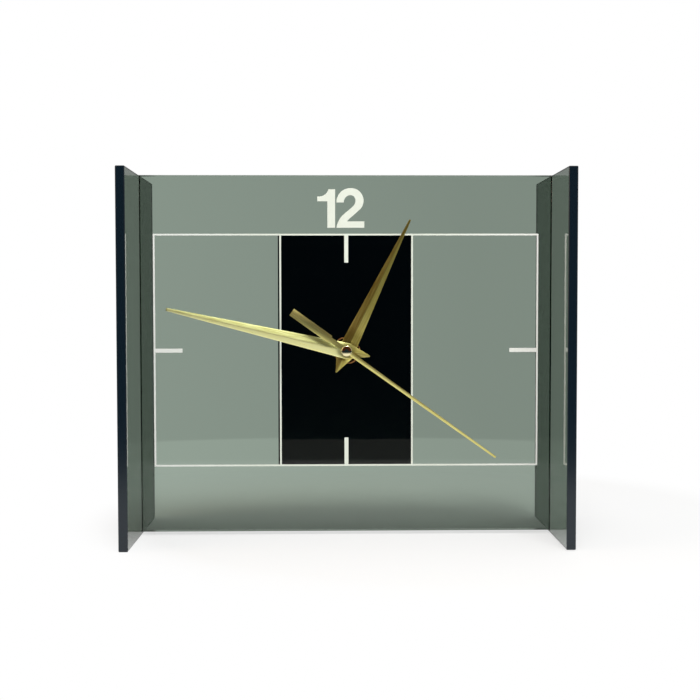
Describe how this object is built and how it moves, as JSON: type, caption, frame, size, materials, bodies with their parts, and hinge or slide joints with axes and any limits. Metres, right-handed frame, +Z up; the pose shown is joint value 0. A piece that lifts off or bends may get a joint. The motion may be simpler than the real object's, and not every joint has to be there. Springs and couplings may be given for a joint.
{
  "type": "desk clock",
  "caption": "Free-standing desk clock of smoked acrylic sheet, H-shaped in plan, with a printed dial frame, creased brass hands and a battery quartz movement behind the face.",
  "frame": {"origin": "on the table, under the middle of the width and the depth", "axes": "+X to the viewer's right along the width, +Y from the face to the back, +Z up; the hands turn clockwise about +Y"},
  "size_m": [0.216, 0.088, 0.181],
  "materials": {
    "smoked_acrylic": "polished",
    "white_ink": "matte",
    "black_styrene": "gloss",
    "gold_brass": "satin",
    "polished_brass": "polished",
    "turned_brass": "satin",
    "gasket_rubber": "matte",
    "case_plastic": "matte",
    "wheel_plastic": "satin",
    "board_laminate": "satin",
    "resin": "gloss",
    "nickel_steel": "satin",
    "copper_wire": "satin",
    "magnet": "satin",
    "cell_jacket": "satin"
  },
  "bodies": {
    "clock_body": {"left_side_panel": "smoked_acrylic", "right_side_panel": "smoked_acrylic", "face_panel": "smoked_acrylic", "dial_print": "white_ink", "numeral_one": "white_ink", "numeral_two": "white_ink", "backing_sheet": "black_styrene", "gasket": "gasket_rubber", "dial_washer": "turned_brass", "mounting_nut": "turned_brass", "movement_case": "case_plastic", "rear_cover": "case_plastic", "train_bridge": "wheel_plastic", "circuit_board": "board_laminate", "quartz_crystal": "nickel_steel", "chip": "resin", "stator": "nickel_steel", "coil_core": "nickel_steel", "coil_bobbin": "wheel_plastic", "coil_winding": "copper_wire", "cell": "cell_jacket", "positive_contact": "nickel_steel", "negative_contact": "nickel_steel"},
    "seconds": {"second_wheel": "turned_brass", "second_hand": "gold_brass", "second_boss": "polished_brass"},
    "minutes": {"minute_tube": "turned_brass", "minute_hand": "gold_brass", "minute_collet": "gold_brass"},
    "hours": {"hour_wheel": "wheel_plastic", "hour_hand": "gold_brass", "hour_collet": "gold_brass"},
    "setting": {"setting_arbor": "wheel_plastic", "setting_knob": "case_plastic"},
    "rotor": {"rotor": "magnet"},
    "third": {"third_wheel": "wheel_plastic"},
    "intermediate": {"intermediate_wheel": "wheel_plastic"},
    "centre": {"centre_wheel": "wheel_plastic"},
    "motion": {"motion_wheel": "wheel_plastic"}
  },
  "joints": [
    {"name": "second_turn", "type": "hinge", "parent": "clock_body", "child": "seconds", "pos_m": [0, 0, 0.09315], "axis": [0, 1, 0], "continuous": true},
    {"name": "minute_turn", "type": "hinge", "parent": "clock_body", "child": "minutes", "pos_m": [0, 0, 0.09315], "axis": [0, 1, 0], "continuous": true},
    {"name": "hour_turn", "type": "hinge", "parent": "clock_body", "child": "hours", "pos_m": [0, 0, 0.09315], "axis": [0, 1, 0], "continuous": true},
    {"name": "setting_turn", "type": "hinge", "parent": "clock_body", "child": "setting", "pos_m": [-0.01654, 0, 0.09315], "axis": [0, 1, 0], "continuous": true},
    {"name": "motion_turn", "type": "hinge", "parent": "clock_body", "child": "motion", "pos_m": [-0.00827, 0, 0.09169], "axis": [0, 1, 0], "continuous": true},
    {"name": "rotor_turn", "type": "hinge", "parent": "clock_body", "child": "rotor", "pos_m": [-0.01003, 0, 0.10881], "axis": [0, 1, 0], "continuous": true},
    {"name": "third_turn", "type": "hinge", "parent": "clock_body", "child": "third", "pos_m": [-0.00853, 0, 0.1003], "axis": [0, 1, 0], "continuous": true},
    {"name": "intermediate_turn", "type": "hinge", "parent": "clock_body", "child": "intermediate", "pos_m": [0.01064, 0, 0.09503], "axis": [0, 1, 0], "continuous": true},
    {"name": "centre_turn", "type": "hinge", "parent": "clock_body", "child": "centre", "pos_m": [0, 0, 0.09315], "axis": [0, 1, 0], "continuous": true}
  ],
  "couplings": [
    {"joint": "rotor_turn", "follows": "second_turn", "ratio": 30},
    {"joint": "third_turn", "follows": "second_turn", "ratio": -6},
    {"joint": "intermediate_turn", "follows": "second_turn", "ratio": -0.13333},
    {"joint": "centre_turn", "follows": "second_turn", "ratio": 0.016667},
    {"joint": "motion_turn", "follows": "minute_turn", "ratio": -0.33333},
    {"joint": "hour_turn", "follows": "minute_turn", "ratio": 0.083333},
    {"joint": "setting_turn", "follows": "minute_turn", "ratio": 1}
  ]
}
